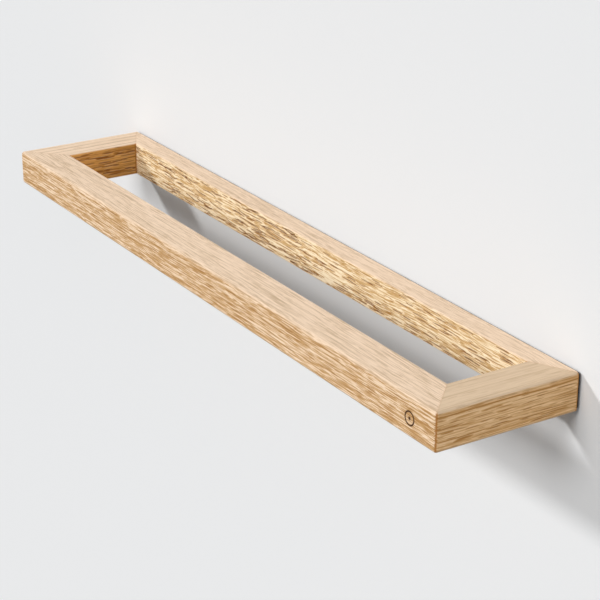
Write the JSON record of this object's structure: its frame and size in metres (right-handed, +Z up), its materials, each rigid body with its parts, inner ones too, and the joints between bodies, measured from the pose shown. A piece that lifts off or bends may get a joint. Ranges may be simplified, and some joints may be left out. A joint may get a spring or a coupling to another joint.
{
  "type": "bicycle wall rack",
  "caption": "Long rectangular ring of mitred oak rails that stands out level from a wall on a thin steel plate with keyholes; a bicycle hangs in the slot between the rails.",
  "frame": {"origin": "on the wall face of the steel plate, at mid-length and mid-height, where the rack meets the wall", "axes": "+X along the wall, +Y into the wall, +Z up; the rack stands out towards -Y"},
  "size_m": [0.6, 0.113, 0.028],
  "materials": {
    "oak": "oiled solid oak, sanded, open pored, with eased edges",
    "dowel_beech": "turned beech dowel, unfinished, chamfered at both ends",
    "plate_steel": "matt near-black powder coat on sheet steel",
    "screw_steel": "zinc-plated steel with a cross recess"
  },
  "bodies": {
    "root": {"front_rail": "oak", "back_rail": "oak", "left_end_rail": "oak", "right_end_rail": "oak", "wall_plate": "plate_steel", "dowel_front_left_lower": "dowel_beech", "dowel_front_left_upper": "dowel_beech", "dowel_front_right_lower": "dowel_beech", "dowel_front_right_upper": "dowel_beech", "dowel_back_left_lower": "dowel_beech", "dowel_back_left_upper": "dowel_beech", "dowel_back_right_lower": "dowel_beech", "dowel_back_right_upper": "dowel_beech", "plate_screw_1": "screw_steel", "plate_screw_2": "screw_steel", "plate_screw_3": "screw_steel", "plate_screw_4": "screw_steel", "plate_screw_5": "screw_steel", "plate_screw_6": "screw_steel", "plate_screw_7": "screw_steel", "plate_screw_8": "screw_steel"}
  },
  "joints": []
}
